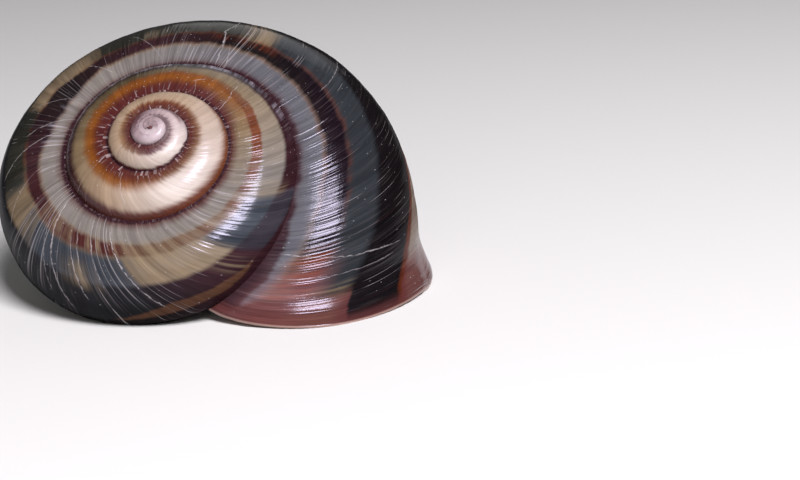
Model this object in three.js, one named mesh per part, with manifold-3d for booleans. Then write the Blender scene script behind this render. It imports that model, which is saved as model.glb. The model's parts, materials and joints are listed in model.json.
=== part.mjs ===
// Land snail shell, empty: one coiled tube of about four and a quarter turns that grew as one piece.
// It coils right-handed round its own axis, each turn leans on the one before along a seam,
// the mouth ends in a thin turned-out lip, and the shell lies mouth down, as it is carried.
import * as THREE from "three";
import { mergeVertices } from "three/addons/utils/BufferGeometryUtils.js";
import Module from "manifold-3d";

// Driving dimensions. Lengths are millimetres, places along the coil are turns, angles are degrees.
const coil = {
  startRadius: 0.6, // from the coiling axis to the middle of the tube, at turn 0
  growth: 0.8923, // growth of the tube for each turn, as a logarithm, at turn 0
  growthLoss: 0.0953, // and what that growth loses for each turn after
  descent: 1.1735, // how far the tube's middle drops down the axis for each unit of radius
  descentPower: 1.0146, // above 1 the later turns drop a little more
  firstTurn: -0.42, // where the coil starts
  tipLength: 0.3, // turns over which the tip rounds off
  tipOpen: 0.01, // what is left of the tube, squared, at the very tip
  mouthTurn: 4.14, // where it ends
};
const tube = {
  width: 0.856, // half width away from the axis, as a share of the distance to the axis
  innerWidth: 0.95, // half width towards the axis
  height: 0.698, // half height above the middle
  depth: 0.431, // half height below it
  squareness: 2.33, // 2 would be an ellipse
};
const mouth = {
  slant: 0.2123, // turns by which the growth lines trail the seam, at most
  slantSpan: 344.8, // how far round the tube they trail it
  dip: 0.265, // how far the last part of the coil dips, as a share of the radius
  dipLength: 0.22, // in turns
  flare: 1.45, // how far the lip turns out
  flareLength: 0.035, // in turns
  flareSpan: 45, // how far round the tube the flare takes to rise
  flareSteps: [0.3, 0.6, 0.85, 1], // where the stations lie along the flare
  clearance: 0.006, // how far the hollow runs out past the lip, in turns
};
const wall = {
  thickness: 0.75, // at the mouth
  thinnest: 0.24,
  rib: 1.25, // at the lip
  ribLength: 0.09, // in turns
};
const hollowStart = 0.9; // the turns before this are filled, as old tips are
const pillar = {
  radius: 2.4, // of the columella low down
  topRadius: 0.2,
  slope: 0.2, // how much wider it gets for each millimetre down
  top: -0.45, // heights along the coiling axis
  foot: -15.8,
  footRise: 2, // height of its rounded foot
  footSteps: 4,
  neckSteps: 8,
  sides: 16,
};
const pose = { phase: -20.27, tilt: 41.39, heading: -15.72 }; // turns about Z, X and Z, mouth down
const wornFlat = 0.2; // what is worn off where the shell touches the ground

const stepsPerTurn = 20; // stations
const rowsAcross = 26; // points round the outer skin
const rowsInside = 18; // points round the hollow
const stepsPerPiece = 7; // stations in one of the short pieces the tube is joined from
const smallestEdge = 0.015; // finer detail than this is smoothed away
const groundBlock = { width: 100, depth: 10 };

const wasm = await Module();
wasm.setup();

function growthAt(turn) {
  return coil.growth * turn - (coil.growthLoss * turn * turn) / 2;
}

function sizeAt(turn) {
  return Math.exp(growthAt(turn));
}

// A power that keeps its sign, for the rounded-square section.
function signedPower(value, power) {
  return Math.sign(value) * Math.abs(value) ** power;
}

// How far the coil has dipped at this station: the last part of it turns down towards the base.
function dipAt(station) {
  const late = Math.max(station - (coil.mouthTurn - mouth.dipLength), 0) / mouth.dipLength;
  return mouth.dip * late ** 2;
}

// Point of the tube's skin, `inset` mm inside it. A station is a growth line, one mouth of long
// ago; angle 0 is the top of the tube and 90 degrees is its outer edge.
function skinPoint(station, angle, inset) {
  const turn = station - trail(angle);
  const radius = coil.startRadius * sizeAt(turn);
  const drop = coil.startRadius * coil.descent * sizeAt(turn) ** coil.descentPower;
  const up = Math.cos(angle);
  const across = Math.sin(angle);
  const halfWidth = (across < 0 ? tube.innerWidth : tube.width) * radius - inset;
  const halfHeight = (up < 0 ? tube.depth : tube.height) * radius - inset;
  const power = 2 / tube.squareness;
  const r = radius + halfWidth * signedPower(across, power);
  const z = halfHeight * signedPower(up, power) - drop - dipAt(station) * radius;
  const azimuth = -2 * Math.PI * turn;
  return new THREE.Vector3(r * Math.cos(azimuth), r * Math.sin(azimuth), z);
}

// Turns by which a growth line trails the seam at this angle round the tube.
function trail(angle) {
  const share = THREE.MathUtils.radToDeg(angle) / mouth.slantSpan;
  return share < 1 ? mouth.slant * Math.sin(Math.PI * share) : 0;
}

// Closed tube between rings; insetAt gives how far each ring lies inside the outer skin.
function tubeBetween(stations, rows, insetAt) {
  const places = [];
  const faces = [];
  for (const station of stations) {
    for (let row = 0; row < rows; row++) {
      const angle = (2 * Math.PI * row) / rows;
      const point = skinPoint(station, angle, insetAt(station, angle));
      places.push(point.x, point.y, point.z);
    }
  }
  for (let ring = 0; ring + 1 < stations.length; ring++) {
    for (let row = 0; row < rows; row++) {
      const next = (row + 1) % rows;
      const a = ring * rows + row;
      const b = ring * rows + next;
      faces.push(a, a + rows, b, b, a + rows, b + rows);
    }
  }
  for (const [ring, turned] of [[0, true], [stations.length - 1, false]]) {
    const middle = places.length / 3;
    const centre = new THREE.Vector3();
    for (let row = 0; row < rows; row++) {
      centre.add(new THREE.Vector3().fromArray(places, (ring * rows + row) * 3));
    }
    centre.divideScalar(rows);
    places.push(centre.x, centre.y, centre.z);
    for (let row = 0; row < rows; row++) {
      const a = ring * rows + row;
      const b = ring * rows + ((row + 1) % rows);
      faces.push(middle, ...(turned ? [a, b] : [b, a]));
    }
  }
  const geometry = new THREE.BufferGeometry();
  geometry.setAttribute("position", new THREE.Float32BufferAttribute(places, 3));
  geometry.setIndex(faces);
  return geometry;
}

function toSolid(geometry) {
  const bare = geometry.clone();
  bare.deleteAttribute("normal");
  bare.deleteAttribute("uv");
  const merged = mergeVertices(bare, 1e-5);
  return new wasm.Manifold(
    new wasm.Mesh({
      numProp: 3,
      vertProperties: merged.attributes.position.array,
      triVerts: Uint32Array.from(merged.index.array),
    }),
  );
}

function toGeometry(solid) {
  const mesh = solid.getMesh();
  const geometry = new THREE.BufferGeometry();
  geometry.setAttribute("position", new THREE.BufferAttribute(mesh.vertProperties, 3));
  geometry.setIndex(new THREE.BufferAttribute(mesh.triVerts, 1));
  return geometry;
}

// Stations along the coil from one turn to another, closer together where the lip turns out.
function stationsBetween(from, to, withLip) {
  const count = Math.max(Math.round((to - from) * stepsPerTurn), 1);
  const stations = Array.from({ length: count + 1 }, (_, step) => from + ((to - from) * step) / count);
  if (withLip) stations.push(...mouth.flareSteps.map((share) => to + mouth.flareLength * share));
  return stations;
}

// How far the lip turns out: most at the very edge, and not at all where it joins the turn before.
function flareAt(station, angle) {
  const late = Math.max(station - (coil.mouthTurn - mouth.flareLength), 0) / mouth.flareLength;
  const away = THREE.MathUtils.smoothstep(THREE.MathUtils.radToDeg(angle), 0, mouth.flareSpan);
  return mouth.flare * late ** 2 * away;
}

// The outer skin closes to a rounded tip where the coil starts, and turns out at the lip.
function outsideInset(station, angle) {
  const short = Math.max(1 - (station - coil.firstTurn) / coil.tipLength, 0);
  const depth = coil.startRadius * sizeAt(station) * tube.depth;
  return depth * (1 - Math.sqrt(Math.max(1 - short ** 2, coil.tipOpen))) - flareAt(station, angle);
}

// The wall thickens as the tube grows, and again in a rib behind the lip.
function insideInset(station, angle) {
  const grown = Math.max((wall.thickness * sizeAt(station)) / sizeAt(coil.mouthTurn), wall.thinnest);
  const rib = THREE.MathUtils.smoothstep(station, coil.mouthTurn - wall.ribLength, coil.mouthTurn);
  return THREE.MathUtils.lerp(grown, wall.rib, rib) - flareAt(Math.min(station, coil.mouthTurn), angle);
}

// The columella: a slender post up the axis that the turns wind round, with a rounded foot.
function makePost() {
  const neck = pillar.top - (pillar.radius - pillar.topRadius) / pillar.slope;
  const profile = [new THREE.Vector2(0, pillar.foot)];
  for (let step = 1; step <= pillar.footSteps; step++) {
    const turned = (step * Math.PI) / 2 / pillar.footSteps;
    const height = pillar.foot + pillar.footRise * (1 - Math.cos(turned));
    profile.push(new THREE.Vector2(pillar.radius * Math.sin(turned), height));
  }
  for (let step = 0; step <= pillar.neckSteps; step++) {
    const height = THREE.MathUtils.lerp(neck, pillar.top, step / pillar.neckSteps);
    profile.push(new THREE.Vector2(pillar.topRadius + pillar.slope * (pillar.top - height), height));
  }
  profile.push(new THREE.Vector2(0, pillar.top));
  const post = new THREE.LatheGeometry(profile, pillar.sides);
  post.rotateX(Math.PI / 2);
  return toSolid(post);
}

// The tube is joined from short pieces, because a tube that leans on itself isn't a solid. Each
// piece of the hollow gives way to the turn before it, whose skin is the wall between the two.
function makeShell() {
  const pieceLength = stepsPerPiece / stepsPerTurn;
  const overlap = 1 / stepsPerTurn;
  const lipStart = coil.mouthTurn - mouth.flareLength;
  const pieces = Math.ceil((lipStart - coil.firstTurn) / pieceLength);
  const outers = [];
  const hollows = [];
  for (let piece = 0; piece < pieces; piece++) {
    const to = lipStart - (pieces - 1 - piece) * pieceLength;
    const from = piece ? to - pieceLength - overlap : coil.firstTurn;
    const last = piece === pieces - 1;
    outers.push(toSolid(tubeBetween(stationsBetween(from, to, last), rowsAcross, outsideInset)));
    if (to < hollowStart + overlap) continue;
    const stations = stationsBetween(Math.max(from, hollowStart), to, last);
    if (last) stations.push(coil.mouthTurn + mouth.clearance);
    const hollow = toSolid(tubeBetween(stations, rowsInside, insideInset));
    hollows.push(hollow.subtract(wasm.Manifold.union(outers.slice(0, piece - 1))));
  }
  const post = makePost();
  const outside = wasm.Manifold.union([...outers, post]);
  const inside = wasm.Manifold.union(hollows).subtract(post);
  const parts = outside.subtract(inside).simplify(smallestEdge).decompose();
  return parts.sort((a, b) => b.volume() - a.volume())[0];
}

// Lays the shell down on its mouth, and wears it flat where it touches the ground.
function layDown(solid) {
  const geometry = toGeometry(solid);
  geometry.rotateZ(THREE.MathUtils.degToRad(pose.phase));
  geometry.rotateX(THREE.MathUtils.degToRad(pose.tilt));
  geometry.rotateZ(THREE.MathUtils.degToRad(pose.heading));
  geometry.computeBoundingBox();
  const { min, max } = geometry.boundingBox;
  geometry.translate(-(min.x + max.x) / 2, -(min.y + max.y) / 2, -min.z - wornFlat);
  const ground = new THREE.BoxGeometry(groundBlock.width, groundBlock.width, groundBlock.depth);
  ground.translate(0, 0, -groundBlock.depth / 2);
  return toSolid(geometry).subtract(toSolid(ground));
}

const shell = new THREE.Mesh(
  toGeometry(layDown(makeShell())),
  new THREE.MeshStandardMaterial({ color: 0x6b5348, roughness: 0.25, metalness: 0 }),
);
shell.name = "shell";

const snailShell = new THREE.Group();
snailShell.add(shell);

export default snailShell;
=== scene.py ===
import json
import math
from functools import partial, reduce
from types import SimpleNamespace

import bmesh
import bpy
import numpy as np
from mathutils import Matrix, Vector, noise

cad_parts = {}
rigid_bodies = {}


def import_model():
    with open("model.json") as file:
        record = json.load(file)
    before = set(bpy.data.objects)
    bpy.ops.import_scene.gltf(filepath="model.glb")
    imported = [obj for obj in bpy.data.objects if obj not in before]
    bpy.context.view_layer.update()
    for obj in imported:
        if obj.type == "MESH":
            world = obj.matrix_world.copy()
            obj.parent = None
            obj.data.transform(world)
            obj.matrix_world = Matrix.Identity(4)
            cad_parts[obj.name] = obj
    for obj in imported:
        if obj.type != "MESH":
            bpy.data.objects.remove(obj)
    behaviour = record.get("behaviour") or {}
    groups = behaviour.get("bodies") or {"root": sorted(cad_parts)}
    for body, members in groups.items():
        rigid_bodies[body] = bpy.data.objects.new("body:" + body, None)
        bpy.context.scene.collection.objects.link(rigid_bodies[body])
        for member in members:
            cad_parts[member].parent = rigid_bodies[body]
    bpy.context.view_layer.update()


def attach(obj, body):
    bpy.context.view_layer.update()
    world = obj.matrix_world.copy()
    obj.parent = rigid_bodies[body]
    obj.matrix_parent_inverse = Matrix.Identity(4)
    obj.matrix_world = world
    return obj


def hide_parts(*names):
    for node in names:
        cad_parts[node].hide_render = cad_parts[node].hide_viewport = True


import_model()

# the camera looks across the spire from a little above it
viewer = {
    "place": (-0.003116, -0.140318, 0.044601),
    "turn": (73.345, 1.992, -7.552),
    "lens": 85.475,
    "sensor": 36.0,
    "nearest": 0.005,
}


def deselectAll():
    for thing in bpy.context.scene.objects:
        thing.select_set(False)


def radiansOf(angles):
    return tuple(math.radians(angle) for angle in angles)


deselectAll()
bpy.ops.object.camera_add(location=viewer["place"], rotation=radiansOf(viewer["turn"]))
camera = bpy.context.object
camera.name = "camera"
camera.data.lens = viewer["lens"]
camera.data.sensor_width = viewer["sensor"]
camera.data.clip_start = viewer["nearest"]
bpy.context.scene.camera = camera
bpy.context.scene.view_settings.view_transform = "Standard"  # colours come out as they are mixed
print("camera placed")

# the shell: lengths in millimetres, places along the coil in turns, angles in degrees
coil = {
    "startRadius": 0.6, "growth": 0.8923, "growthLoss": 0.0953,
    "descent": 1.1735, "descentPower": 1.0146,
    "firstTurn": -0.42, "tipLength": 0.3, "tipOpen": 0.01, "mouthTurn": 4.14,
}
tube = {"width": 0.856, "innerWidth": 0.95, "height": 0.698, "depth": 0.431, "squareness": 2.33}
mouth = {
    "slant": 0.2123, "slantSpan": 344.8, "dip": 0.265, "dipLength": 0.22,
    "flare": 1.45, "flareLength": 0.035, "flareSpan": 45.0, "flareSteps": 12,
    "rim": 0.56, "rimLength": 0.0042, "rimSteps": (0.0, 0.3, 0.55, 0.75, 0.88, 0.96), "clearance": 0.004,
}
wall = {"thickness": 0.75, "thinnest": 0.24, "rib": 1.15, "ribLength": 0.1, "ribEnd": 0.03}
hollow = {"start": 0.9, "leastLength": 0.05, "rows": 72}
columella = {
    "radius": 2.4, "topRadius": 0.2, "slope": 0.2, "top": -0.45, "foot": -15.8,
    "footRise": 2.0, "footSteps": 8, "neckSteps": 30, "sides": 48, "mapLength": 10,
}
pose = {"phase": -20.27, "tilt": 41.39, "heading": -15.72, "shift": (-4.52093, -6.12684, 14.262)}
fineness = {"stepsAtMouth": 330, "leastSteps": 96, "rows": 116, "pieceLength": 0.35, "smoothBelow": 40}
relief = {
    "ridge": 0.035, "ridgeEvery": 1.3, "ridgeSpan": 70, "ridgeLayer": 0.0,
    "fold": 0.05, "foldEvery": 5.0, "foldSpan": 50, "foldLayer": 5.0,
    "from": 0.7, "full": 1.6, "atLip": 0.35, "lostAtLip": 0.65,
}
growthLine = {"lean": 0.0014, "sway": 0.0008, "swayFrom": 3.45, "reach": 120.0, "endsFrom": 3.8}
lengthTable = {"turnsBefore": 0.5, "turnsAfter": 0.1, "steps": 600, "outerSide": 1.5}
# the maps hold hundreds of degrees, and a mark for the hollow's side and the columella's
mapped = {"degrees": 100, "outside": 0, "inside": 10, "post": 20, "acrossScale": 0.75}
lipStart = coil["mouthTurn"] - mouth["flareLength"]
millimetre = 0.001


def smoothly(value, low, high):
    share = np.clip((value - low) / (high - low), 0, 1)
    return share * share * (3 - 2 * share)


def sizeAt(turn):
    return np.exp(coil["growth"] * turn - coil["growthLoss"] * turn * turn / 2)


def signedPower(value, power):
    return np.sign(value) * np.abs(value) ** power


def trailAt(angle):  # turns by which a growth line trails the seam, round the tube
    share = angle / mouth["slantSpan"]
    return np.where(share < 1, mouth["slant"] * np.sin(np.pi * share), 0)


def skinPoint(station, angle, inset):  # a station is one mouth of long ago; angle 0 is the top of the tube
    turn = station - trailAt(angle)
    radius = coil["startRadius"] * sizeAt(turn)
    drop = coil["startRadius"] * coil["descent"] * sizeAt(turn) ** coil["descentPower"]
    up, across = np.cos(np.radians(angle)), np.sin(np.radians(angle))
    halfWidth = np.where(across < 0, tube["innerWidth"], tube["width"]) * radius - inset
    halfHeight = np.where(up < 0, tube["depth"], tube["height"]) * radius - inset
    power = 2 / tube["squareness"]
    away = radius + halfWidth * signedPower(across, power)
    late = np.maximum(station - (coil["mouthTurn"] - mouth["dipLength"]), 0) / mouth["dipLength"]
    height = halfHeight * signedPower(up, power) - drop - mouth["dip"] * late**2 * radius
    azimuth = -2 * np.pi * turn
    return np.stack([away * np.cos(azimuth), away * np.sin(azimuth), height], -1)


def layDown(points):  # from the coil's own axis to the ground, mouth down, with the contact worn flat
    for angle, first, second in ((pose["phase"], 0, 1), (pose["tilt"], 1, 2), (pose["heading"], 0, 1)):
        turned = points.copy()
        cosine, sine = math.cos(math.radians(angle)), math.sin(math.radians(angle))
        turned[..., first] = cosine * points[..., first] - sine * points[..., second]
        turned[..., second] = sine * points[..., first] + cosine * points[..., second]
        points = turned
    points = points + np.array(pose["shift"])
    points[..., 2] = np.maximum(points[..., 2], 0)
    return points


lengthTurns = np.linspace(
    coil["firstTurn"] - lengthTable["turnsBefore"], coil["mouthTurn"] + lengthTable["turnsAfter"],
    lengthTable["steps"])
lengthPerTurn = 2 * np.pi * lengthTable["outerSide"] * coil["startRadius"] * sizeAt(lengthTurns)
lengthSoFar = np.cumsum(lengthPerTurn) * (lengthTurns[1] - lengthTurns[0])


def lengthAt(turn):  # millimetres along the whorl's outer side
    return np.interp(turn, lengthTurns, lengthSoFar)


def lineAt(station, angle):  # the growth line that passes here, by the station where it meets the seam
    lean = growthLine["lean"] + growthLine["sway"] * np.sin(2 * np.pi * (station - growthLine["swayFrom"]))
    lean = lean * (1 - smoothly(station, growthLine["endsFrom"], coil["mouthTurn"]))
    return station - lean * growthLine["reach"] * np.tanh(angle / growthLine["reach"])


def noiseAt(along, across, layer):
    places = zip(along.ravel(), across.ravel())
    return np.array([noise.noise(Vector((*place, layer))) for place in places]).reshape(along.shape)


def reliefAt(station, angle):  # uneven growth: ridges along the growth lines and broad soft folds
    line = lengthAt(lineAt(station, angle))
    ridges = noiseAt(line / relief["ridgeEvery"], angle / relief["ridgeSpan"], relief["ridgeLayer"])
    folds = noiseAt(line / relief["foldEvery"], angle / relief["foldSpan"], relief["foldLayer"])
    settled = 1 - smoothly(station, lipStart, coil["mouthTurn"])
    height = ridges * relief["ridge"] + folds * relief["fold"]
    grown = smoothly(station, relief["from"], relief["full"])
    return height * grown * (relief["atLip"] + relief["lostAtLip"] * settled)


def flareAt(station, angle):
    late = np.maximum(station - lipStart, 0) / mouth["flareLength"]
    return mouth["flare"] * late**2 * smoothly(angle, 0, mouth["flareSpan"])


def rimRound(station):
    late = np.clip((station - coil["mouthTurn"]) / mouth["rimLength"] + 1, 0, 1)
    return mouth["rim"] / 2 * (1 - np.sqrt(1 - late**2))


def outsideInset(station, angle):
    short = np.maximum(1 - (station - coil["firstTurn"]) / coil["tipLength"], 0)
    depth = coil["startRadius"] * sizeAt(station) * tube["depth"]
    tip = depth * (1 - np.sqrt(np.maximum(1 - short**2, coil["tipOpen"])))
    return tip - flareAt(station, angle) + rimRound(station) - reliefAt(station, angle)


def insideInset(station, angle):
    thickness = wall["thickness"] * sizeAt(station) / sizeAt(coil["mouthTurn"])
    thickness = np.maximum(thickness, wall["thinnest"])
    ribStart = coil["mouthTurn"] - wall["ribLength"]
    ribEnd = coil["mouthTurn"] - wall["ribEnd"]
    thickness = thickness + (wall["rib"] - thickness) * smoothly(station, ribStart, ribEnd)
    thickness = thickness + (mouth["rim"] - thickness) * smoothly(station, ribEnd, coil["mouthTurn"])
    within = np.minimum(station, coil["mouthTurn"])
    return thickness - flareAt(within, angle) - rimRound(within)


def stationsAlong():  # closer together as the whorls widen, and closest at the lip
    stations = [coil["firstTurn"]]
    while stations[-1] < lipStart:
        steps = fineness["stepsAtMouth"] * sizeAt(stations[-1]) / sizeAt(coil["mouthTurn"])
        stations.append(stations[-1] + 1 / max(steps, fineness["leastSteps"]))
    reached = [coil["firstTurn"], stations[-1]]
    stations = np.interp(np.array(stations), reached, [coil["firstTurn"], lipStart])
    rimStart = coil["mouthTurn"] - mouth["rimLength"]
    flared = np.linspace(lipStart, rimStart, mouth["flareSteps"] + 1)[1:-1]
    rim = rimStart + mouth["rimLength"] * np.array(mouth["rimSteps"])
    return list(stations) + list(flared) + list(rim)


def solidFrom(name, points, faces, growthPlaces, linePlaces):
    mesh = bpy.data.meshes.new(name)
    mesh.from_pydata(points.tolist(), [], faces)
    for layer, places in (("growth", growthPlaces), ("lines", linePlaces)):
        flat = np.concatenate([np.asarray(corner, dtype=np.float32).ravel() for corner in places])
        mesh.uv_layers.new(name=layer).data.foreach_set("uv", flat)
    mesh.validate()
    solid = bpy.data.objects.new(name, mesh)
    bpy.context.collection.objects.link(solid)
    return solid


def placesOf(station, angle, side):  # where a corner is in growth turns and degrees, and in millimetres
    line = lineAt(station, angle)
    around = np.radians(angle) * coil["startRadius"] * sizeAt(station - trailAt(angle))
    across = around * mapped["acrossScale"]
    growth = np.stack([line, angle / mapped["degrees"] + side], -1)
    lines = np.stack([lengthAt(line), across], -1)
    return growth, lines


def tubeSolid(name, stations, rows, insetAt, side):
    stations = np.array(stations)
    angles = np.arange(rows + 1) * 360 / rows
    grid, around = np.meshgrid(stations, angles[:-1], indexing="ij")
    points = layDown(skinPoint(grid, around, insetAt(grid, around)))
    wide, wideAngle = np.meshgrid(stations, angles, indexing="ij")
    growth, lines = placesOf(wide, wideAngle, side)
    faces, growthPlaces, linePlaces = [], [], []
    for ring in range(len(stations) - 1):
        for row in range(rows):
            after = (row + 1) % rows
            first, second = ring * rows, (ring + 1) * rows
            faces.append((first + row, second + row, second + after, first + after))
            corners = ((ring, row), (ring + 1, row), (ring + 1, row + 1), (ring, row + 1))
            growthPlaces.append([growth[corner] for corner in corners])
            linePlaces.append([lines[corner] for corner in corners])
    flat = points.reshape(-1, 3)
    ends = []
    for ring, atStart in ((0, True), (len(stations) - 1, False)):
        centre = len(flat) + len(ends)
        ends.append(points[ring].mean(0))
        for row in range(rows):
            here, after = ring * rows + row, ring * rows + (row + 1) % rows
            pair = (row, row + 1) if atStart else (row + 1, row)
            faces.append((centre, here, after) if atStart else (centre, after, here))
            middle = (growth[ring, row] + growth[ring, row + 1]) / 2
            growthPlaces.append([middle, growth[ring, pair[0]], growth[ring, pair[1]]])
            middle = (lines[ring, row] + lines[ring, row + 1]) / 2
            linePlaces.append([middle, lines[ring, pair[0]], lines[ring, pair[1]]])
    return solidFrom(name, np.vstack([flat, ends]), faces, growthPlaces, linePlaces)


def columellaSolid():
    neck = columella["top"] - (columella["radius"] - columella["topRadius"]) / columella["slope"]
    profile = []
    for step in range(1, columella["footSteps"] + 1):
        turned = step * math.pi / 2 / columella["footSteps"]
        height = columella["foot"] + columella["footRise"] * (1 - math.cos(turned))
        profile.append((columella["radius"] * math.sin(turned), height))
    for height in np.linspace(neck, columella["top"], columella["neckSteps"]):
        profile.append((columella["topRadius"] + columella["slope"] * (columella["top"] - height), height))
    sides = columella["sides"]
    azimuth = np.arange(sides) * 2 * np.pi / sides
    around = np.stack([np.cos(azimuth), np.sin(azimuth)], -1)
    rings = [np.column_stack([radius * around, np.full(sides, height)]) for radius, height in profile]
    points = np.vstack(rings + [[(0, 0, columella["foot"])], [(0, 0, columella["top"])]])
    faces, growthPlaces, linePlaces = [], [], []
    low, high = len(points) - 2, len(points) - 1
    for side in range(sides):
        after = (side + 1) % sides
        faces.append((low, after, side))
        for ring in range(len(profile) - 1):
            first, second = ring * sides, (ring + 1) * sides
            faces.append((first + side, first + after, second + after, second + side))
        last = (len(profile) - 1) * sides
        faces.append((high, last + side, last + after))
    for face in faces:
        heights = [points[corner][2] / columella["mapLength"] for corner in face]
        growthPlaces.append([(height, mapped["post"]) for height in heights])
        linePlaces.append([(points[corner][0], points[corner][2]) for corner in face])
    return solidFrom("columella", layDown(points), faces, growthPlaces, linePlaces)


def combine(target, other, operation):
    deselectAll()
    bpy.context.view_layer.objects.active = target
    cut = target.modifiers.new("combine", "BOOLEAN")
    cut.operation, cut.solver, cut.object = operation, "MANIFOLD", other
    bpy.ops.object.modifier_apply(modifier=cut.name)


def discard(things):
    for thing in things:
        bpy.data.objects.remove(thing, do_unlink=True)


def makeShell():
    stations = stationsAlong()
    ends = [len(stations) - 1]
    count = math.ceil((lipStart - coil["firstTurn"]) / fineness["pieceLength"])
    for back in range(1, count):
        target = lipStart - back * fineness["pieceLength"]
        ends.insert(0, int(np.argmin(np.abs(np.array(stations) - target))))
    outers, hollows = [], []
    for piece, end in enumerate(ends):
        start = ends[piece - 1] - 1 if piece else 0
        span = stations[start:end + 1]
        outers.append(tubeSolid("outer", span, fineness["rows"], outsideInset, mapped["outside"]))
        if span[-1] < hollow["start"] + hollow["leastLength"]:
            continue
        inner = span
        if span[0] < hollow["start"]:
            inner = [hollow["start"]] + [station for station in span if station > hollow["start"]]
        if piece < count - 1:
            inner = inner[:-1][::2] + inner[-1:]  # every second one will do inside
        else:
            inner = inner + [coil["mouthTurn"] + mouth["clearance"]]
        cavity = tubeSolid("cavity", inner, hollow["rows"], insideInset, mapped["inside"])
        for earlier in outers[:max(piece - 1, 0)]:
            combine(cavity, earlier, "DIFFERENCE")
        hollows.append(cavity)
    print("shell: %d lengths of tube, %d of hollow" % (len(outers), len(hollows)))
    post = columellaSolid()
    outside = outers[0]
    for outer in outers[1:]:
        combine(outside, outer, "UNION")
    combine(outside, post, "UNION")
    inside = hollows[0]
    for cavity in hollows[1:]:
        combine(inside, cavity, "UNION")
    combine(inside, post, "DIFFERENCE")
    combine(outside, inside, "DIFFERENCE")
    discard(outers[1:] + hollows + [post])
    return outside


def keepLargest(thing):  # drops any sliver that the cuts left loose
    shape = bmesh.new()
    shape.from_mesh(thing.data)
    left = set(shape.verts)
    islands = []
    while left:
        seed = left.pop()
        island, reached = {seed}, [seed]
        while reached:
            for link in reached.pop().link_edges:
                for end in link.verts:
                    if end in left:
                        left.discard(end)
                        island.add(end)
                        reached.append(end)
        islands.append(island)
    islands.sort(key=len)
    loose = [vert for island in islands[:-1] for vert in island]
    bmesh.ops.delete(shape, geom=loose, context="VERTS")
    shape.to_mesh(thing.data)
    shape.free()
    return len(islands) - 1


search = {
    "step": 0.02, "highest": 60, "earlyTurns": 0.8, "hiddenEarly": 265, "hiddenLate": 325,
    "outsideBelow": 361, "insideIs": 100, "window": 7,
}


def measureFromSeam(thing):  # writes how far each corner is from where its whorl comes out at the seam
    mesh = thing.data
    flat = np.empty(len(mesh.loops) * 2, dtype=np.float32)
    mesh.uv_layers["growth"].data.foreach_get("uv", flat)
    turns, angles = flat[0::2], flat[1::2] * mapped["degrees"]
    outside = angles < search["outsideBelow"]
    late = turns > search["earlyTurns"]
    hiddenFrom = np.where(late, search["hiddenLate"], search["hiddenEarly"])
    signed = np.where(outside & (angles > hiddenFrom), angles - 360, angles)
    bins = np.floor((turns - coil["firstTurn"]) / search["step"]).astype(int)
    near = outside & (signed < search["highest"])
    lowest = np.full(bins.max() + 1, np.inf)
    np.minimum.at(lowest, bins[near], signed[near])
    known = np.where(np.isfinite(lowest))[0]
    filled = np.interp(np.arange(len(lowest)), known, lowest[known])
    window = search["window"]
    half = window // 2
    even = [np.median(filled[max(place - half, 0):place + half + 1]) for place in range(len(filled))]
    even = np.convolve(np.pad(even, half, mode="edge"), np.ones(window) / window, mode="valid")
    centres = coil["firstTurn"] + (np.arange(len(even)) + 0.5) * search["step"]
    fromSeam = np.where(outside, signed - np.interp(turns, centres, even), search["insideIs"])
    layer = np.stack([fromSeam, signed], -1).astype(np.float32) / mapped["degrees"]
    mesh.uv_layers.new(name="seam").data.foreach_set("uv", layer.ravel())


shell = makeShell()
shell.name = "snailShell"
print("shell: %d loose slivers dropped" % keepLargest(shell))
measureFromSeam(shell)
print("shell: seam measured")
deselectAll()
shell.select_set(True)
bpy.context.view_layer.objects.active = shell
shell.data.transform(Matrix.Scale(millimetre, 4))
bpy.ops.object.shade_smooth_by_angle(angle=math.radians(fineness["smoothBelow"]))
counted = sum(len(face.vertices) - 2 for face in shell.data.polygons)
print("shell: %d triangles" % counted)

# finishes: shader sums are written as plain expressions on wires


class Wire:
    def __init__(self, bench, socket):
        self.bench = bench
        self.socket = socket

    def __add__(self, other):
        return self.bench.sum("ADD", self, other)

    def __sub__(self, other):
        return self.bench.sum("SUBTRACT", self, other)

    def __rsub__(self, other):
        return self.bench.sum("SUBTRACT", other, self)

    def __mul__(self, other):
        return self.bench.sum("MULTIPLY", self, other)

    def __truediv__(self, other):
        return self.bench.sum("DIVIDE", self, other)

    def __rtruediv__(self, other):
        return self.bench.sum("DIVIDE", other, self)

    __radd__ = __add__
    __rmul__ = __mul__


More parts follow.
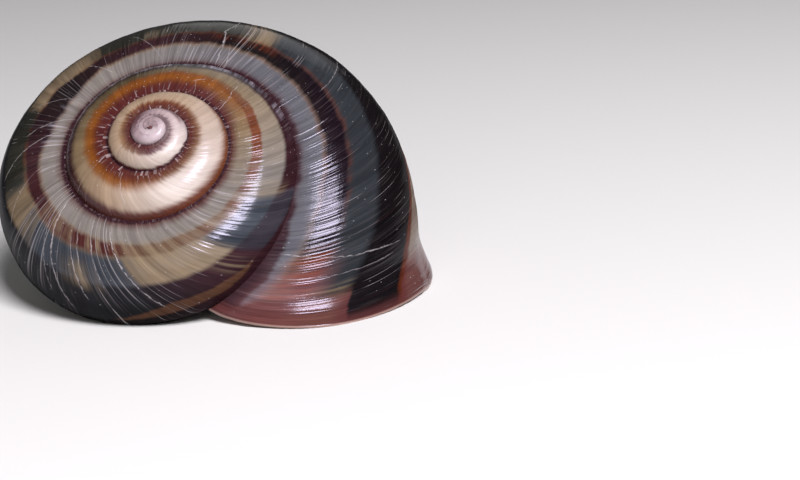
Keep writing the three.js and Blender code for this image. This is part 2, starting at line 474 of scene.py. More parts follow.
class Bench:
    def __init__(self, name):
        self.material = bpy.data.materials.new(name)
        self.material.use_nodes = True
        self.tree = self.material.node_tree
        self.tree.nodes.clear()

    def node(self, kind, settings=None, inputs=None):
        made = self.tree.nodes.new(kind)
        for key, value in (settings or {}).items():
            if key == "stops":
                self.setStops(made.color_ramp, value)
            else:
                setattr(made, key, value)
        for key, value in (inputs or {}).items():
            if isinstance(value, Wire):
                self.tree.links.new(value.socket, made.inputs[key])
            else:
                made.inputs[key].default_value = value
        return made

    def setStops(self, ramp, stops):
        while len(ramp.elements) < len(stops):
            ramp.elements.new(1.0)
        for element, (place, colour) in zip(ramp.elements, stops):
            element.position = place
            element.color = colour

    def wire(self, node, output=0):
        return Wire(self, node.outputs[output])

    def sum(self, operation, *values):
        return self.wire(self.node("ShaderNodeMath", {"operation": operation}, dict(enumerate(values))))

    def smooth(self, value, low, high):  # 0 below low, 1 above high, eased between
        inputs = {"Value": value, "From Min": low, "From Max": high}
        settings = {"interpolation_type": "SMOOTHSTEP", "clamp": False}
        return self.wire(self.node("ShaderNodeMapRange", settings, inputs))

    def between(self, value, low, high, soft):
        risen = self.smooth(value, low - soft, low + soft)
        return risen * (1 - self.smooth(value, high - soft, high + soft))

    def over(self, value, reach):  # two numbers rise and stay, a third is the softness of a patch
        return self.smooth(value, *reach) if len(reach) == 2 else self.between(value, *reach)

    def either(self, first, second):
        return self.sum("MAXIMUM", first, second)

    def anyOf(self, patches):
        return reduce(self.either, patches)

    def blend(self, share, first, second, how="MIX"):  # a colour is a wire or a tone's name
        settings = {"data_type": "RGBA", "blend_type": how, "clamp_factor": True}
        inputs = {"Factor": share, 6: tones.get(first, first), 7: tones.get(second, second)}
        return self.wire(self.node("ShaderNodeMix", settings, inputs), 2)

    def ramp(self, value, stops):
        return self.wire(self.node("ShaderNodeValToRGB", {"stops": stops}, {"Fac": value}))

    def colourAlong(self, share, stops):
        return self.ramp(share, [(shareAlong(turn), tones[name]) for turn, name in stops.items()])

    def angleAlong(self, share, stops):  # degrees that change along the coil, which a ramp holds as greys
        full = rampReach["degrees"]
        greys = [(shareAlong(turn), (angle / full,) * 3 + (1.0,)) for turn, angle in stops.items()]
        return self.wire(self.node("ShaderNodeSeparateColor", None, {0: self.ramp(share, greys)})) * full

    def layer(self, name):
        return self.wire(self.node("ShaderNodeUVMap", {"uv_map": name}))

    def parts(self, layer):  # the two numbers of a UV map
        split = self.node("ShaderNodeSeparateXYZ", None, {0: layer})
        return self.wire(split), self.wire(split, 1)

    def place(self, layer, along, across, depth=0.0):  # a UV map stretched, for a noise to read
        inputs = {"Vector": layer, "Scale": (along, across, 1.0), "Location": (0.0, 0.0, depth)}
        return self.wire(self.node("ShaderNodeMapping", None, inputs))

    def grain(self, layer, name):
        along, across, depth, detail, roughness = grains[name]
        vector = self.place(layer, along, across, depth)
        inputs = {"Vector": vector, "Scale": 1.0, "Detail": detail, "Roughness": roughness}
        return self.wire(self.node("ShaderNodeTexNoise", {"noise_dimensions": "3D"}, inputs))


def tone(red, green, blue):  # a colour as seen, 0 to 255, as the shader takes it
    def straight(value):
        value = value / 255
        return value / 12.92 if value <= 0.04045 else ((value + 0.055) / 1.055) ** 2.4
    return (straight(red), straight(green), straight(blue), 1.0)


tones = {
    "lilac": tone(139, 120, 124), "mauve": tone(92, 66, 70), "blush": tone(172, 154, 155),
    # on this line: the apex's pale tone with a painted highlight in it, then a lilac white for pale
    # deposits and painted reflections
    "shine": tone(179, 164, 168), "frost": tone(196, 190, 206), "scar": tone(188, 180, 182),
    "cream": tone(194, 183, 177), "sand": tone(173, 158, 149), "tan": tone(152, 130, 109),
    "fawn": tone(122, 107, 88), "drab": tone(116, 98, 74), "olive": tone(70, 60, 42),
    # the middle tone on this line is the base's pale cream darkened as painted shade, for the underside
    # near the mouth
    "ash": tone(118, 112, 108), "stone": tone(116, 102, 92), "smoke": tone(86, 86, 93),
    "amber": tone(120, 70, 24), "hazel": tone(130, 102, 76), "bark": tone(84, 58, 44),
    "chestnut": tone(104, 58, 34), "rust": tone(96, 42, 16), "umber": tone(84, 38, 20),
    "maroon": tone(72, 32, 32), "plum": tone(48, 26, 32), "night": tone(20, 10, 18),
    "soot": tone(16, 13, 15), "coal": tone(28, 29, 32), "slateBlue": tone(50, 57, 67),
    "slateDark": tone(30, 38, 46), "slateGreen": tone(28, 31, 27), "lip": tone(84, 46, 46),
    # the rim tone on this line is a painted highlight along the lip's edge
    "flush": tone(128, 82, 84), "rim": tone(168, 140, 130), "glaze": tone(150, 120, 116),
    "glazeDark": tone(84, 54, 56),
}

# a ramp's 0 to 1 holds growth turns from -0.5 to 4.5, and an angle on it up to 200 degrees
rampReach = {"turnsBefore": 0.5, "turns": 5, "degrees": 200}

# noises on the lines map: repeats in a millimetre along and across, layer, detail, roughness
grains = {
    "ticks": (3.2, 0.25, 1, 3, 0.6),
    "waves": (0.5, 0.1, 2, 1, 0.5),
    "streaks": (1.1, 0.12, 3, 3, 0.6),
    "fineStreaks": (2.7, 0.14, 11, 3, 0.65),
    "hairs": (5, 0.22, 4, 2, 0.6),
    "patches": (2.5, 2.5, 9, 2, 0.5),
    "paleTicks": (3.4, 0.3, 8, 2, 0.6),
    "thinLines": (7, 0.04, 15, 1, 0.5),
    "scratches": (8, 0.05, 12, 1, 0.5),
    "scuffed": (0.35, 0.5, 13, 1, 0.5),
    "ridges": (3.6, 0.09, 6, 1, 0.5),
    "folds": (1.2, 0.1, 14, 1, 0.5),
    "threads": (0.6, 5, 7, 2, 0.5),
}


def shareAlong(turn):
    return (turn + rampReach["turnsBefore"]) / rampReach["turns"]


# "turns" are growth turns and "degrees" go round the whorl: from, to, and how soft where there is a third
uneven = {"late": (2.5, 3.0), "ticks": 0.6, "ticksLostLate": 0.3, "waves": 4, "leastAcross": 0.001}


def spotOnShell(bench):  # where on the shell a point is, and how uneven the growth is there
    growth = bench.parts(bench.layer("growth"))
    seam = bench.parts(bench.layer("seam"))
    lines = bench.layer("lines")
    across = bench.parts(lines)[1]
    spot = SimpleNamespace(turn=growth[0], fromSeam=seam[0] * mapped["degrees"], lines=lines)
    allDegrees = growth[1] * mapped["degrees"]
    insideMark = mapped["inside"] * mapped["degrees"]
    spot.within = bench.smooth(allDegrees, insideMark * 0.5 - 1, insideMark * 0.5 + 1)
    spot.onPost = bench.smooth(allDegrees, insideMark * 1.5 - 1, insideMark * 1.5 + 1)
    wholeDegrees = bench.sum("MODULO", allDegrees, insideMark)
    spot.degrees = wholeDegrees + (seam[1] * mapped["degrees"] - wholeDegrees) * (1 - spot.within)
    share = shareAlong(spot.turn)
    spot.colourAlong, spot.angleAlong = partial(bench.colourAlong, share), partial(bench.angleAlong, share)
    spot.turns, spot.around = partial(bench.over, spot.turn), partial(bench.over, spot.degrees)
    spot.grain = partial(bench.grain, lines)
    spot.late = spot.turns(uneven["late"])
    ticks = spot.grain("ticks") - 0.5
    waves = spot.grain("waves") - 0.5
    degreesPerLength = wholeDegrees / (across + uneven["leastAcross"])
    ticks = ticks * degreesPerLength * (uneven["ticks"] - spot.late * uneven["ticksLostLate"])
    spot.unevenness = ticks + waves * uneven["waves"]
    spot.ragged = spot.degrees + spot.unevenness
    spot.jagged = partial(bench.over, spot.ragged)
    for name in ("streaks", "fineStreaks", "hairs", "patches"):
        setattr(spot, name, spot.grain(name))
    return spot


coat = {
    # near the apex, turns 0 to 0.22 take a paler tone in both ramps: the apex's pale colour with a painted
    # highlight in it
    "ground": {
        -0.4: "lilac", -0.25: "lilac", 0.0: "shine", 0.22: "shine", 0.38: "lilac",
        0.49: "mauve", 0.55: "mauve", 0.66: "lilac", 0.84: "blush", 1.14: "cream",
        1.25: "sand", 1.4: "tan", 1.75: "tan", 2.0: "sand", 2.17: "cream", 2.32: "tan",
        2.43: "drab", 2.6: "olive", 2.85: "fawn", 3.02: "ash", 3.2: "fawn", 4.1: "drab",
    },
    "shoulder": {
        -0.25: "lilac", 0.0: "shine", 0.16: "shine", 0.34: "lilac", 0.64: "lilac", 1.0: "blush",
        1.2: "mauve", 1.4: "hazel", 1.7: "chestnut", 2.05: "hazel", 2.25: "chestnut",
        2.45: "umber", 2.75: "chestnut", 2.9: "drab", 3.05: "ash", 3.6: "ash", 3.8: "smoke",
        4.14: "smoke",
    },
    "shoulderEnds": {
        1.0: 12, 1.15: 20, 1.32: 20, 1.5: 13, 2.1: 10, 2.4: 18, 2.7: 24, 2.95: 15, 4.14: 14,
    },
    "soft": 7, "softLostLate": 3,
    "amber": {"turns": (2.22, 2.86, 0.1), "degrees": (8, 21, 7), "share": 0.8},
    "firstGrowth": {"turns": (0.72, 0.92, 0.06), "degrees": (26, 46), "share": 0.75},
}


def groundCoat(bench, spot):
    ground = spot.colourAlong(coat["ground"])
    shoulder = spot.colourAlong(coat["shoulder"])
    shoulderEnd = spot.angleAlong(coat["shoulderEnds"])
    soft = coat["soft"] - spot.late * coat["softLostLate"]
    colour = bench.blend(bench.smooth(spot.ragged - shoulderEnd, 0 - soft, soft), shoulder, ground)
    amber, first = coat["amber"], coat["firstGrowth"]
    share = spot.turns(amber["turns"]) * spot.jagged(amber["degrees"])
    colour = bench.blend(share * amber["share"], colour, "amber")
    share = spot.turns(first["turns"]) * spot.around(first["degrees"])
    return bench.blend(share * first["share"], colour, "maroon")


slate = {
    "flames": ((3.06, 3.145), (3.25, 3.38), (3.42, 3.51), (3.585, 3.75), (3.785, 4.115)),
    "deepFlames": ((3.06, 3.145),),  # this one runs on down over the low band
    "soft": 0.012, "sway": 0.05, "fineSway": 0.02,
    "green": (3.41, 3.78, 0.03), "darker": (3.6, 3.8),
    "top": 20, "topHigher": 6, "higherTurns": (3.4, 3.55), "fade": 10, "share": 0.95,
}


def flamesAt(bench, spot, turns, soft):
    flameTurn = spot.turn + (spot.streaks - 0.5) * slate["sway"]
    flameTurn = flameTurn + (spot.fineStreaks - 0.5) * slate["fineSway"]
    return bench.anyOf(bench.between(flameTurn, start, end, soft) for start, end in turns)


def addFlames(bench, spot, colour):  # slate patches between the two dark bands
    green = spot.turns(slate["green"])
    darker = spot.turns(slate["darker"])
    slateColour = bench.blend(darker, "slateBlue", "slateDark")
    slateColour = bench.blend(green, slateColour, "slateGreen")
    top = slate["top"] - spot.turns(slate["higherTurns"]) * slate["topHigher"]
    share = flamesAt(bench, spot, slate["flames"], slate["soft"])
    share = share * bench.smooth(spot.ragged - top, 0.0, slate["fade"])
    return bench.blend(share * slate["share"], colour, slateColour)


lowBand = {
    "colours": {
        0.9: "maroon", 1.5: "maroon", 1.9: "chestnut", 2.08: "chestnut", 2.25: "umber",
        2.45: "plum", 2.7: "soot", 2.9: "plum", 3.2: "plum", 3.27: "coal", 3.42: "coal",
        3.5: "soot", 4.1: "soot",
    },
    "starts": {
        0.95: 110, 1.08: 72, 1.3: 72, 1.5: 48, 1.7: 66, 2.1: 58, 2.28: 58, 2.4: 46,
        2.55: 37, 2.72: 35, 2.85: 44, 2.95: 50, 3.3: 51, 3.8: 46, 4.14: 43,
    },
    "ends": {
        2.8: 110, 2.95: 72, 3.25: 74, 3.38: 110, 3.8: 104, 3.95: 88, 4.06: 77, 4.14: 72,
    },
    "turns": (0.9, 1), "soft": 8, "softer": 5, "softerTurns": (1.7, 2.15, 0.08), "softLostLate": 5,
    "endTurns": (2.86, 2.94), "endDegrees": (-1.5, 2), "deepShare": 0.55,
    # pale lilac streaks on the low band: a painted reflection
    "paintedSheen": {"turns": (2.46, 2.92, 0.06), "degrees": (2, 9), "streaks": (0.4, 0.75), "share": 0.42},
    "border": {"turns": (3.3, 3.8), "degrees": (-3.5, 1, 1.5), "share": 0.8},
}
under = {
    "paler": (3.6, 3.95), "mottles": (0.47, 0.62), "mottledDegrees": (76, 110), "mottledShare": 0.7,
    "seamStarts": {2.95: 66, 3.14: 68, 3.2: 84, 3.3: 89, 3.38: 78, 3.5: 76},
    "seamEdge": (-1.8, 1.8), "seamTurns": (2.97, 3.5, 0.03), "seamDarker": (3.2, 3.28),
    "beyondDegrees": (83, 89), "beyondTurns": (3.1, 3.17),
}


def undersideColour(bench, spot):
    # towards the mouth the underside takes the base's pale cream, darkened with painted shade
    colour = bench.blend(spot.turns(under["paler"]), "bark", "stone")
    mottled = bench.over(spot.streaks, under["mottles"])
    mottled = mottled * spot.around(under["mottledDegrees"])
    colour = bench.blend(mottled * under["mottledShare"], colour, "slateGreen")
    fromSeam = spot.ragged - spot.angleAlong(under["seamStarts"])
    seam = bench.over(fromSeam, under["seamEdge"]) * spot.turns(under["seamTurns"])
    seamColour = bench.blend(spot.turns(under["seamDarker"]), "plum", "soot")
    colour = bench.blend(seam, colour, seamColour)
    beyond = spot.jagged(under["beyondDegrees"])
    beyond = beyond * (1 - spot.turns(under["beyondTurns"]))
    return bench.blend(seam * beyond, colour, "ash")


def addLowBand(bench, spot, colour):  # the later whorl mostly covers it
    start = spot.angleAlong(lowBand["starts"])
    end = spot.angleAlong(lowBand["ends"])
    soft = lowBand["soft"] + spot.turns(lowBand["softerTurns"]) * lowBand["softer"]
    soft = soft - spot.late * lowBand["softLostLate"]
    spot.low = bench.smooth(spot.ragged - start, 0 - soft, soft) * spot.turns(lowBand["turns"])
    spot.base = bench.over(spot.ragged - end, lowBand["endDegrees"])
    spot.base = spot.base * spot.turns(lowBand["endTurns"])
    colour = bench.blend(spot.low, colour, spot.colourAlong(lowBand["colours"]))
    deep = flamesAt(bench, spot, slate["deepFlames"], slate["soft"]) * spot.low * (1 - spot.base)
    colour = bench.blend(deep * lowBand["deepShare"], colour, "slateBlue")
    # pale lilac streaks on the low band: a reflection painted into the colour
    paintedSheen, border = lowBand["paintedSheen"], lowBand["border"]
    share = spot.turns(paintedSheen["turns"]) * bench.over(spot.ragged - start, paintedSheen["degrees"])
    share = share * bench.over(spot.fineStreaks, paintedSheen["streaks"]) * paintedSheen["share"]
    colour = bench.blend(share, colour, "frost")
    colour = bench.blend(spot.base, colour, undersideColour(bench, spot))
    share = bench.over(spot.ragged - end, border["degrees"]) * spot.turns(border["turns"])
    return bench.blend(share * border["share"], colour, "umber")


middleBand = {
    "colours": {
        2.8: "umber", 3.0: "chestnut", 3.2: "bark", 3.28: "maroon", 3.45: "plum", 3.54: "soot",
        3.64: "plum", 3.76: "soot", 3.92: "night",
    },
    "turns": (2.74, 2.92), "low": 15.2, "high": 24.6, "soft": 1.7, "share": 0.98,
    "wideTurns": (3.46, 3.56, 0.03), "wide": 5, "wideUp": 0.6, "lateTurns": (3.72, 3.9), "wideLate": 1.4,
    "fadedTurns": (2.98, 3.24, 0.03), "faded": 0.25, "fadedStreaks": (0.4, 0.6), "fadedMore": 0.5,
    "gapTurns": (3.24, 3.37, 0.02), "gapStreaks": (0.42, 0.64), "gap": 0.75,
    "lipTurns": (4.03, 4.1), "lipFade": 0.5,
    "highBorder": (1, 1.8, 2.4), "lowBorder": (1.2, 0.6, 1.8),
    "borderTurns": (3.27, 4.03, 0.05), "borderStreaks": (0.3, 0.55), "borderShare": 0.55,
    "rust": {"turns": (3.72, 3.79, 0.02), "degrees": (20, 25, 2.5), "share": 0.5},
    "lipRust": {"turns": (4.06, 4.112, 0.012), "degrees": (13, 27, 4), "share": 0.75},
    "rustStreaks": (0.35, 0.6),
}


def besideEdge(bench, spot, edge, reach):  # a strip along the edge of a band
    before, after, soft = reach
    return bench.between(spot.ragged, edge - before, edge + after, soft)


def addMiddleBand(bench, spot, colour):
    band = middleBand
    wide = spot.turns(band["wideTurns"]) * band["wide"]
    wide = wide + spot.turns(band["lateTurns"]) * band["wideLate"]
    low, high = band["low"] - wide, band["high"] + wide * band["wideUp"]
    share = bench.between(spot.ragged, low, high, band["soft"]) * spot.turns(band["turns"])
    faded = spot.turns(band["fadedTurns"])
    faded = 1 - faded * (band["faded"] + bench.over(spot.streaks, band["fadedStreaks"]) * band["fadedMore"])
    border = bench.either(besideEdge(bench, spot, high, band["highBorder"]),
                          besideEdge(bench, spot, low, band["lowBorder"]))
    border = border * spot.turns(band["borderTurns"])
    border = border * bench.over(spot.streaks, band["borderStreaks"])
    gaps = 1 - bench.over(spot.streaks, band["gapStreaks"]) * band["gap"]
    broken = spot.turns(band["gapTurns"])
    faded = faded * (1 - broken + broken * gaps)
    spot.middle = share * faded * (1 - spot.turns(band["lipTurns"]) * band["lipFade"])
    colour = bench.blend(border * band["borderShare"], colour, "umber")
    colour = bench.blend(spot.middle * band["share"], colour, spot.colourAlong(band["colours"]))
    rust, lipRust = band["rust"], band["lipRust"]
    rusty = spot.turns(rust["turns"]) * spot.jagged(rust["degrees"])
    glowing = spot.turns(lipRust["turns"]) * spot.jagged(lipRust["degrees"])
    rusty = bench.either(rusty * rust["share"], glowing * lipRust["share"])
    return bench.blend(rusty * bench.over(spot.fineStreaks, band["rustStreaks"]), colour, "rust")


flecks = {
    "places": (  # turn from, turn to, degrees from, degrees to
        (3.3, 3.325, 36, 56), (3.17, 3.185, 46, 74), (3.545, 3.57, 30, 44), (3.752, 3.772, 38, 60),
        (3.645, 3.66, 26, 36), (3.04, 3.056, 30, 58),
    ),
    "sway": 0.03, "softTurns": 0.012, "softDegrees": 6, "streaks": (0.35, 0.6), "share": 0.7,
    # lilac white streaks near the seam, below: partly pale deposits, partly painted reflection
    "frostTurns": ((3.02, 3.16), (3.42, 3.52), (3.7, 3.78)), "frostSoft": 0.03,
    "frostStreaks": (0.52, 0.68), "frostDegrees": (10, 17), "frostShare": 0.35,
}


def addPaleFlecks(bench, spot, colour):
    fleckTurn = spot.turn + (spot.fineStreaks - 0.5) * flecks["sway"]
    found = bench.anyOf(
        bench.between(fleckTurn, start, end, flecks["softTurns"])
        * bench.between(spot.ragged, low, high, flecks["softDegrees"])
        for start, end, low, high in flecks["places"])
    found = found * bench.over(spot.fineStreaks, flecks["streaks"])
    colour = bench.blend(found * flecks["share"], colour, "fawn")
    # lilac white streaks near the seam: partly pale deposits, partly painted reflection
    frost = bench.over(spot.fineStreaks, flecks["frostStreaks"])
    frost = frost * (1 - spot.jagged(flecks["frostDegrees"]))
    frost = frost * flamesAt(bench, spot, flecks["frostTurns"], flecks["frostSoft"])
    return bench.blend(frost * flecks["frostShare"], colour, "frost")


seamLine = {
    "lastTurns": (2.82, 2.94), "end": 6, "widerTurns": (2.42, 2.78, 0.06), "wider": 3, "endLast": 3.5,
    "soft": 10, "crispTurns": (2.2, 2.4), "crisp": 4, "softLast": 2.5,
    "maroonFrom": (0.84, 1.12), "maroon": 0.93, "paleFrom": (3.3, 3.6), "pale": 0.3,
    "early": {"turns": (0.45, 1.05, 0.08), "degrees": (-1, 8), "share": 0.6},
    # the dark line by the seam is its own dark colour deepened with painted shade in the groove; the thick
    # strip is painted shade in the last whorl's seam groove over that dark colour
    "darkFrom": (-0.1, 0.2), "dark": 0.75, "darkestFrom": (0.8, 1.1), "darkest": 0.25, "width": (0.8, 2.6),
    "lipTurns": (3.98, 4.09), "lipWider": 6,
    "thick": {"turns": (3.7, 3.82), "degrees": (1.4, 3.6), "share": 0.92},
    "chalk": {"turns": (2.9, 3.2), "degrees": (1.3, 1.6, 0.4), "ticks": (0.5, 0.62), "share": 0.5},
    "ticks": {"turns": (1, 1.2), "degrees": (5, 12), "ticks": (0.56, 0.66), "share": 0.55},
    "ticksLostLate": 0.4,
}


def addSeamLine(bench, spot, colour):
    line = seamLine
    last = spot.turns(line["lastTurns"])
    end = line["end"] + spot.turns(line["widerTurns"]) * line["wider"]
    end = end - last * line["endLast"]
    soft = line["soft"] - spot.turns(line["crispTurns"]) * line["crisp"]
    soft = soft - last * line["softLast"]
    maroon = 1 - bench.smooth(spot.ragged - end, 0 - soft, soft)
    share = spot.turns(line["maroonFrom"]) * line["maroon"]
    share = share - spot.turns(line["paleFrom"]) * line["pale"]
    colour = bench.blend(maroon * share, colour, "maroon")
    early, thick, chalk, pale = (line[name] for name in ("early", "thick", "chalk", "ticks"))
    share = spot.turns(early["turns"]) * (1 - spot.jagged(early["degrees"]))
    colour = bench.blend(share * early["share"], colour, "plum")
    # a dark line along the seam: its own dark colour, deepened with painted shade in the groove
    strength = spot.turns(line["darkFrom"]) * line["dark"]
    strength = strength + spot.turns(line["darkestFrom"]) * line["darkest"]
    dark = (1 - bench.over(spot.fromSeam, line["width"])) * strength
    # on the last whorl, a wider dark strip along the seam, widest near the lip: painted shade in the groove
    # over the seam's dark colour
    widening = spot.turns(line["lipTurns"]) * line["lipWider"]
    share = 1 - bench.over(spot.ragged - widening, thick["degrees"])
    dark = bench.either(dark, share * spot.turns(thick["turns"]) * thick["share"])
    colour = bench.blend(dark, colour, "plum")
    paleTicks = spot.grain("paleTicks")
    share = bench.over(spot.fromSeam, chalk["degrees"]) * spot.turns(chalk["turns"])
    share = share * bench.over(paleTicks, chalk["ticks"]) * chalk["share"]
    colour = bench.blend(share, colour, "ash")
    reach = 1 - bench.over(spot.fromSeam + spot.unevenness, pale["degrees"])
    share = bench.over(paleTicks, pale["ticks"]) * reach * spot.turns(pale["turns"])
    share = share * (pale["share"] - spot.late * line["ticksLostLate"])
    return bench.blend(share, colour, "blush")


lip = {
    "flushTurns": (4.06, 4.105), "flushDegrees": (9, 32, 6), "flushShare": 0.5,
    "turns": (4.106, 4.118), "share": 0.88, "rimHighlightTurns": (4.1372, 4.139), "rimHighlightShare": 0.8,
    "narrowDegrees": (46, 72, 2), "narrow": 0.022, "narrowTopDegrees": (6, 14), "narrowTop": 0.014,
}


def addLip(bench, spot, colour):
    flush = spot.turns(lip["flushTurns"]) * spot.jagged(lip["flushDegrees"])
    colour = bench.blend(flush * lip["flushShare"], colour, "flush")
    narrowed = spot.jagged(lip["narrowDegrees"]) * lip["narrow"]
    narrowed = narrowed + (1 - spot.jagged(lip["narrowTopDegrees"])) * lip["narrowTop"]
    share = bench.over(spot.turn - narrowed, lip["turns"])
    colour = bench.blend(share * lip["share"], colour, "lip")
    # a thin pale line along the lip's edge: a painted highlight
    return bench.blend(spot.turns(lip["rimHighlightTurns"]) * lip["rimHighlightShare"], colour, "rim")


streaking = {
    "broad": ((0.3, tone(128, 128, 128)), (0.7, tone(216, 214, 208))), "broadShare": 0.45,
    "fine": ((0.3, tone(120, 116, 116)), (0.7, tone(226, 224, 222))), "fineShare": 0.2,
    "broadLate": 0.15, "fineLate": 0.2,
    "paleHairs": (0.58, 0.72), "paleShare": 0.05,
    "darkHairs": (0.28, 0.44), "darkShare": 0.1, "darkLate": 0.12,
}


def addStreaks(bench, spot, colour):
    broad = bench.ramp(spot.streaks, streaking["broad"])
    share = spot.late * streaking["broadLate"] + streaking["broadShare"]
    colour = bench.blend(share, colour, broad, "SOFT_LIGHT")
    fine = bench.ramp(spot.fineStreaks, streaking["fine"])
    share = spot.late * streaking["fineLate"] + streaking["fineShare"]
    colour = bench.blend(share, colour, fine, "SOFT_LIGHT")
    pale = bench.over(spot.hairs, streaking["paleHairs"]) * streaking["paleShare"]
    colour = bench.blend(pale, colour, "blush")
    dark = 1 - bench.over(spot.hairs, streaking["darkHairs"])
    dark = dark * (streaking["darkShare"] + spot.late * streaking["darkLate"])
    return bench.blend(dark, colour, "plum")


# old scratches and stops of growth: turn and angle where each starts and ends, half width in
# ten-thousandths of a turn, strength
scars = (
    (3.262, 4, 3.285, 37, 15, 0.8), (3.285, 37, 3.311, 76, 12, 0.7), (3.27, 6, 3.28, 20, 11, 0.6),
    (3.292, 3, 3.312, 28, 12, 0.7), (3.312, 28, 3.338, 58, 10, 0.5), (3.318, 8, 3.346, 44, 12, 0.5),
    (3.338, 22, 3.375, 68, 11, 0.6), (3.352, 1, 3.382, 38, 16, 0.8), (3.382, 38, 3.417, 84, 13, 0.75),
    (3.364, 4, 3.392, 36, 10, 0.5), (3.392, 36, 3.426, 74, 10, 0.45), (3.448, 13, 3.474, 54, 11, 0.45),
    (3.491, 4, 3.52, 50, 12, 0.6), (3.512, 2, 3.53, 30, 12, 0.5), (3.552, 4, 3.582, 40, 10, 0.35),
    (3.012, 3, 3.04, 24, 11, 0.5), (3.055, 2, 3.07, 18, 10, 0.4), (3.612, 3, 3.632, 26, 11, 0.45),
    (3.678, 6, 3.706, 36, 10, 0.4), (3.748, 3, 3.788, 30, 14, 0.75), (3.788, 30, 3.83, 52, 12, 0.6),
    (3.76, 2, 3.776, 16, 12, 0.5), (3.91, 2, 3.926, 18, 10, 0.6), (3.902, 24, 3.932, 62, 9, 0.5),
    (4.06, 8, 4.08, 38, 9, 0.5), (4.08, 38, 4.092, 64, 9, 0.55), (4.088, 12, 4.098, 60, 8, 0.4),
    (2.763, 0, 2.773, 13, 15, 0.75), (2.773, 13, 2.796, 18, 40, 0.6), (2.842, 0, 2.859, 20, 13, 0.8),
    (2.859, 20, 2.877, 34, 11, 0.6), (2.283, 0, 2.32, 45, 18, 0.6), (2.378, 0, 2.384, 10, 30, 0.6),
    (2.384, 10, 2.402, 24, 16, 0.5), (1.54, 0, 1.59, 60, 50, 0.4), (3.655, 95, 3.7, 170, 11, 0.5),
    (3.45, 90, 3.5, 160, 11, 0.5), (3.96, 100, 4.0, 180, 11, 0.5),
)
marks = {
    "wobble": 4, "core": 0.9, "endsSoft": 2.5, "strength": 0.75,
    "worn": 0.25, "whole": 0.75, "wornPatches": (0.35, 0.55),
    "bundles": (  # thin lines side by side: turn from, turn to, degrees down, strength
        (3.262, 3.298, 84, 0.4), (3.335, 3.388, 90, 0.45), (3.478, 3.505, 44, 0.3), (3.53, 3.56, 34, 0.2),
        (3.742, 3.766, 52, 0.4), (3.66, 3.69, 36, 0.2), (3.0, 3.03, 30, 0.25), (3.11, 3.13, 26, 0.25),
    ),
    "bundleSoft": 0.008, "bundleFadesFrom": 0.6, "thinLines": (0.55, 0.68), "bundleShare": 0.8,
    "scratches": (0.68, 0.76), "scuffed": (0.44, 0.6), "scratchedTurns": (1.2, 1.6), "scratchShare": 0.45,
}


def scarAt(bench, spot, start, startAngle, end, endAngle, tenThousandths, strength):
    width = tenThousandths / 10000
    first, last = float(lineAt(start, startAngle)), float(lineAt(end, endAngle))
    slope = (last - first) / (endAngle - startAngle)
    middle = spot.degrees * slope + (first - slope * startAngle)
    apart = spot.turn - middle
    apart = bench.sum("ABSOLUTE", apart + (spot.patches - 0.5) * width * marks["wobble"])
    mark = 1 - bench.smooth(apart, 0, width * marks["core"])
    mark = mark * bench.between(spot.degrees, startAngle, endAngle, marks["endsSoft"])
    return mark * (strength * marks["strength"])


def bundleAt(bench, spot, start, end, reach, strength):
    bundle = bench.between(spot.turn, start, end, marks["bundleSoft"])
    fading = bench.smooth(spot.degrees, reach * marks["bundleFadesFrom"], reach)
    return bundle * (1 - fading) * strength


def scarMarks(bench, spot):
    found = bench.anyOf(scarAt(bench, spot, *scar) for scar in scars)
    patches = bench.over(spot.patches, marks["wornPatches"])
    found = found * (marks["worn"] + patches * marks["whole"])
    thin = spot.grain("thinLines")
    bundled = bench.anyOf(bundleAt(bench, spot, *bundle) for bundle in marks["bundles"])
    bundled = bundled * bench.over(thin, marks["thinLines"]) * marks["bundleShare"]
    found = bench.either(found, bundled)
    scratch = spot.grain("scratches")
    scuffed = spot.grain("scuffed")
    scratch = bench.over(scratch, marks["scratches"]) * bench.over(scuffed, marks["scuffed"])
    scratch = scratch * spot.turns(marks["scratchedTurns"])
    return bench.either(found, scratch * marks["scratchShare"]) * (1 - spot.within)


specks = {
    "apart": 1.9, "size": 0.03, "sizeMore": 0.05, "edge": (-0.02, 0.02), "picked": (0.8, 0.82),
    "pitted": {"turns": (1.2, 2.95, 0.1), "degrees": (14, 30), "share": 0.5},
    "patches": (0.42, 0.55), "pittedPatches": 0.3, "turns": (1.05, 1.15), "share": 0.5,
}


def specksOn(bench, spot):
    vector = bench.place(spot.lines, specks["apart"], specks["apart"])
    grit = bench.node("ShaderNodeTexVoronoi", {"voronoi_dimensions": "2D"},
                      {"Vector": vector, "Scale": 1.0, "Randomness": 1.0})
    chosen = bench.node("ShaderNodeSeparateColor", None, {0: bench.wire(grit, 1)})
    size = bench.wire(chosen, 1) * specks["sizeMore"] + specks["size"]
    pits = specks["pitted"]
    pitted = spot.turns(pits["turns"]) * (1 - spot.around(pits["degrees"]))
    pitted = pitted * pits["share"]
    picked = bench.over(bench.wire(chosen) + pitted, specks["picked"])
    found = (1 - bench.over(bench.wire(grit) - size, specks["edge"])) * picked
    found = found * bench.over(spot.patches + pitted * specks["pittedPatches"], specks["patches"])
    return found * spot.turns(specks["turns"]) * (1 - spot.within)


glaze = {"bands": 0.7, "post": 0.6, "postPatches": 0.6}


def insideGlaze(bench, spot):  # the bands show through faintly
    bands = bench.either(spot.middle, spot.low * (1 - spot.base))
    colour = bench.blend(bands * glaze["bands"], "glaze", "glazeDark")
    post = spot.onPost * (glaze["post"] + spot.patches * glaze["postPatches"])
    return bench.blend(post, colour, "lip")


ridging = {
    "folds": 0.5, "threads": 0.1, "first": 0.15, "youngTurns": (0.7, 1.5), "young": 0.25,
    "grownTurns": (2.3, 2.7), "grown": 0.6, "wornDegrees": (26, 46), "worn": 0.65, "lostInside": 0.8,
    "strength": 0.9, "distance": 0.00007,
}


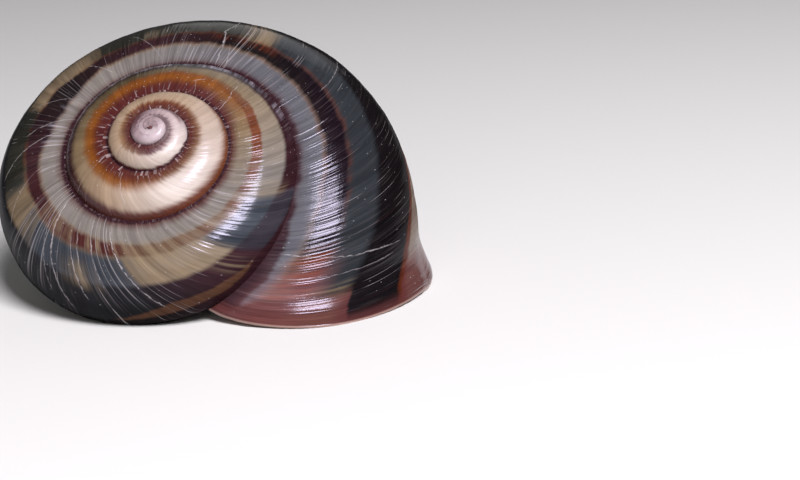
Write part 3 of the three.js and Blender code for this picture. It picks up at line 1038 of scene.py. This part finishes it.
def growthRidges(bench, spot):  # for the gloss to break on
    ridges = spot.grain("ridges")
    folds = spot.grain("folds")
    threads = spot.grain("threads")
    grown = ridging["first"] + spot.turns(ridging["youngTurns"]) * ridging["young"]
    grown = grown + spot.turns(ridging["grownTurns"]) * ridging["grown"]
    worn = 1 - spot.around(ridging["wornDegrees"]) * spot.late * ridging["worn"]
    height = ridges + folds * ridging["folds"] + threads * ridging["threads"]
    height = height * grown * worn * (1 - spot.within * ridging["lostInside"])
    inputs = {"Strength": ridging["strength"], "Distance": ridging["distance"], "Height": height}
    return bench.wire(bench.node("ShaderNodeBump", None, inputs))


gloss = {
    "IOR": 1.38, "Specular Tint": (0.84, 0.8, 1.0, 1.0), "Coat Weight": 0.03, "Coat Roughness": 0.1,
}
dullness = {"Roughness": 0.9, "Specular IOR Level": 0.0}
roughness = {
    "least": 0.13, "streaks": (0.4, 0.8), "inStreaks": 0.06, "hairs": 0.06, "scars": 0.3,
    "earlyTurns": (2.2, 2.5), "early": 0.1, "beforeLast": (2.66, 2.92, 0.08), "beforeLastShare": 0.12,
}
# the last whorl's side has lost its gloss below the middle band
worn = {
    "degrees": (40, 58), "share": 0.65, "lowDegrees": (60, 80), "lowShare": 0.25, "lipTurns": (4.08, 4.12),
}


def roughnessAt(bench, spot, scarred):
    rough = roughness["least"] + bench.over(spot.streaks, roughness["streaks"]) * roughness["inStreaks"]
    rough = rough + spot.hairs * roughness["hairs"] + scarred * roughness["scars"]
    rough = rough + (1 - spot.turns(roughness["earlyTurns"])) * roughness["early"]
    return rough + spot.turns(roughness["beforeLast"]) * roughness["beforeLastShare"]


def wornAt(bench, spot):
    lost = spot.around(worn["degrees"]) * worn["share"]
    lost = lost + spot.around(worn["lowDegrees"]) * worn["lowShare"]
    return lost * spot.late * (1 - spot.turns(worn["lipTurns"]))


def shellFinish():
    bench = Bench("bandedShell")
    spot = spotOnShell(bench)
    colour = groundCoat(bench, spot)
    for add in (addFlames, addLowBand, addMiddleBand, addPaleFlecks, addSeamLine, addLip, addStreaks):
        colour = add(bench, spot, colour)
    scarred = scarMarks(bench, spot)
    pale = bench.either(scarred, specksOn(bench, spot) * specks["share"])
    colour = bench.blend(pale, colour, "scar")
    colour = bench.blend(spot.within, colour, insideGlaze(bench, spot))
    rough = roughnessAt(bench, spot, scarred)
    glossy = bench.node("ShaderNodeBsdfPrincipled", None, {
        "Base Color": colour, "Roughness": rough, "Normal": growthRidges(bench, spot), **gloss,
    })
    dull = bench.node("ShaderNodeBsdfPrincipled", None, {"Base Color": colour, **dullness})
    share = wornAt(bench, spot) * (1 - spot.within)
    finish = bench.node("ShaderNodeMixShader", None, {0: share, 1: bench.wire(glossy), 2: bench.wire(dull)})
    bench.node("ShaderNodeOutputMaterial", None, {"Surface": bench.wire(finish)})
    return bench.material


shell.data.materials.clear()
shell.data.materials.append(shellFinish())
print("finish made: %d nodes" % len(shell.data.materials[0].node_tree.nodes))

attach(shell, "root")
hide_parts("shell")

studio = {
    "floor": 3, "paper": (0.72, 0.71, 0.69, 1), "paperRoughness": 0.9,
    "sky": (0.9, 0.93, 1.0, 1), "skyStrength": 0.05,
}
lights = {
    "key": {"place": (0.074, -0.229, 0.277), "size": 0.135, "power": 2.15, "colour": (0.97, 0.95, 1.0)},
    "fill": {"place": (-0.13, -0.45, 0.2), "size": 0.26, "power": 0.3, "colour": (1.0, 0.97, 0.93)},
    "rim": {"place": (0.10, 0.40, 0.30), "size": 0.30, "power": 0.15, "colour": (1.0, 1.0, 1.0)},
}

deselectAll()
bpy.ops.mesh.primitive_plane_add(size=studio["floor"], location=(0, 0, 0))
floor = bpy.context.object
floor.name = "floor"
paper = bpy.data.materials.new("palePaper")
paper.use_nodes = True
paperSurface = paper.node_tree.nodes["Principled BSDF"]
paperSurface.inputs["Base Color"].default_value = studio["paper"]
paperSurface.inputs["Roughness"].default_value = studio["paperRoughness"]
floor.data.materials.append(paper)

for name, light in lights.items():
    deselectAll()
    bpy.ops.object.light_add(type="AREA", location=light["place"])
    lamp = bpy.context.object
    lamp.name = name
    lamp.data.size = light["size"]
    lamp.data.energy = light["power"]
    lamp.data.color = light["colour"]
    lamp.rotation_euler = (-Vector(light["place"])).to_track_quat("-Z", "Y").to_euler()
world = bpy.data.worlds.new("studio")
bpy.context.scene.world = world
world.use_nodes = True
sky = world.node_tree.nodes["Background"]
sky.inputs["Color"].default_value = studio["sky"]
sky.inputs["Strength"].default_value = studio["skyStrength"]
print("floor and lights placed")
